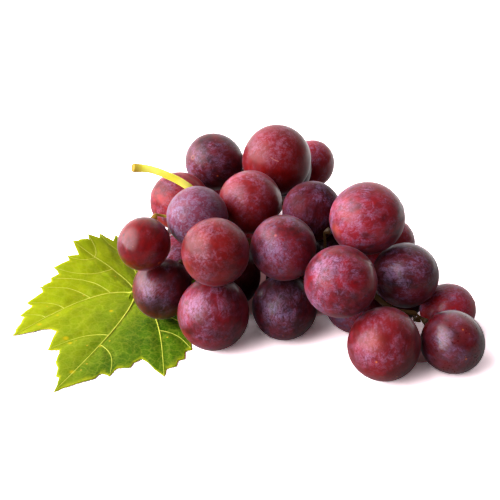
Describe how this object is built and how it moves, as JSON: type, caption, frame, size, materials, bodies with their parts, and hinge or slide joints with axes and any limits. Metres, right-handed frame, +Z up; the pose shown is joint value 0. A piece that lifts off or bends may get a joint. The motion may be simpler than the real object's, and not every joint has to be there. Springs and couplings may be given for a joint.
{
  "type": "bunch of grapes",
  "caption": "Lying bunch of red table grapes on a branching yellow-green stalk, with a toothed vine leaf tucked under its stalk end.",
  "frame": {"origin": "on the resting surface, under the middle of the bounding box", "axes": "+Z up from the resting surface, +X from the cut stalk towards the tip of the bunch, +Y away from the leaf towards the far shoulder"},
  "size_m": [0.1716, 0.1566, 0.0593],
  "materials": {
    "red_skin": "satin red grape skin with a thin waxy bloom",
    "plum_skin": "satin dark purple grape skin with a thin waxy bloom",
    "dusky_skin": "dull pinkish purple grape skin under a thick lilac bloom",
    "stem": "satin yellow-green stalk, brown at its cut end",
    "leaf": "satin yellow-green blade with pale veins"
  },
  "bodies": {
    "root": {"stem": "stem", "leaf": "leaf", "berry_01": "plum_skin", "berry_02": "red_skin", "berry_03": "plum_skin", "berry_04": "plum_skin", "berry_05": "red_skin", "berry_06": "dusky_skin", "berry_07": "red_skin", "berry_08": "plum_skin", "berry_09": "red_skin", "berry_10": "plum_skin", "berry_11": "red_skin", "berry_12": "plum_skin", "berry_13": "dusky_skin", "berry_14": "dusky_skin", "berry_15": "plum_skin", "berry_16": "dusky_skin", "berry_17": "plum_skin", "berry_18": "plum_skin", "berry_19": "dusky_skin", "berry_20": "red_skin", "berry_21": "plum_skin", "berry_22": "dusky_skin", "berry_23": "plum_skin", "berry_24": "plum_skin", "berry_25": "red_skin", "berry_26": "red_skin", "berry_27": "red_skin", "berry_28": "dusky_skin", "berry_29": "plum_skin", "berry_30": "red_skin", "berry_31": "plum_skin", "berry_32": "plum_skin", "berry_33": "plum_skin", "berry_34": "plum_skin", "berry_35": "dusky_skin"}
  },
  "joints": []
}
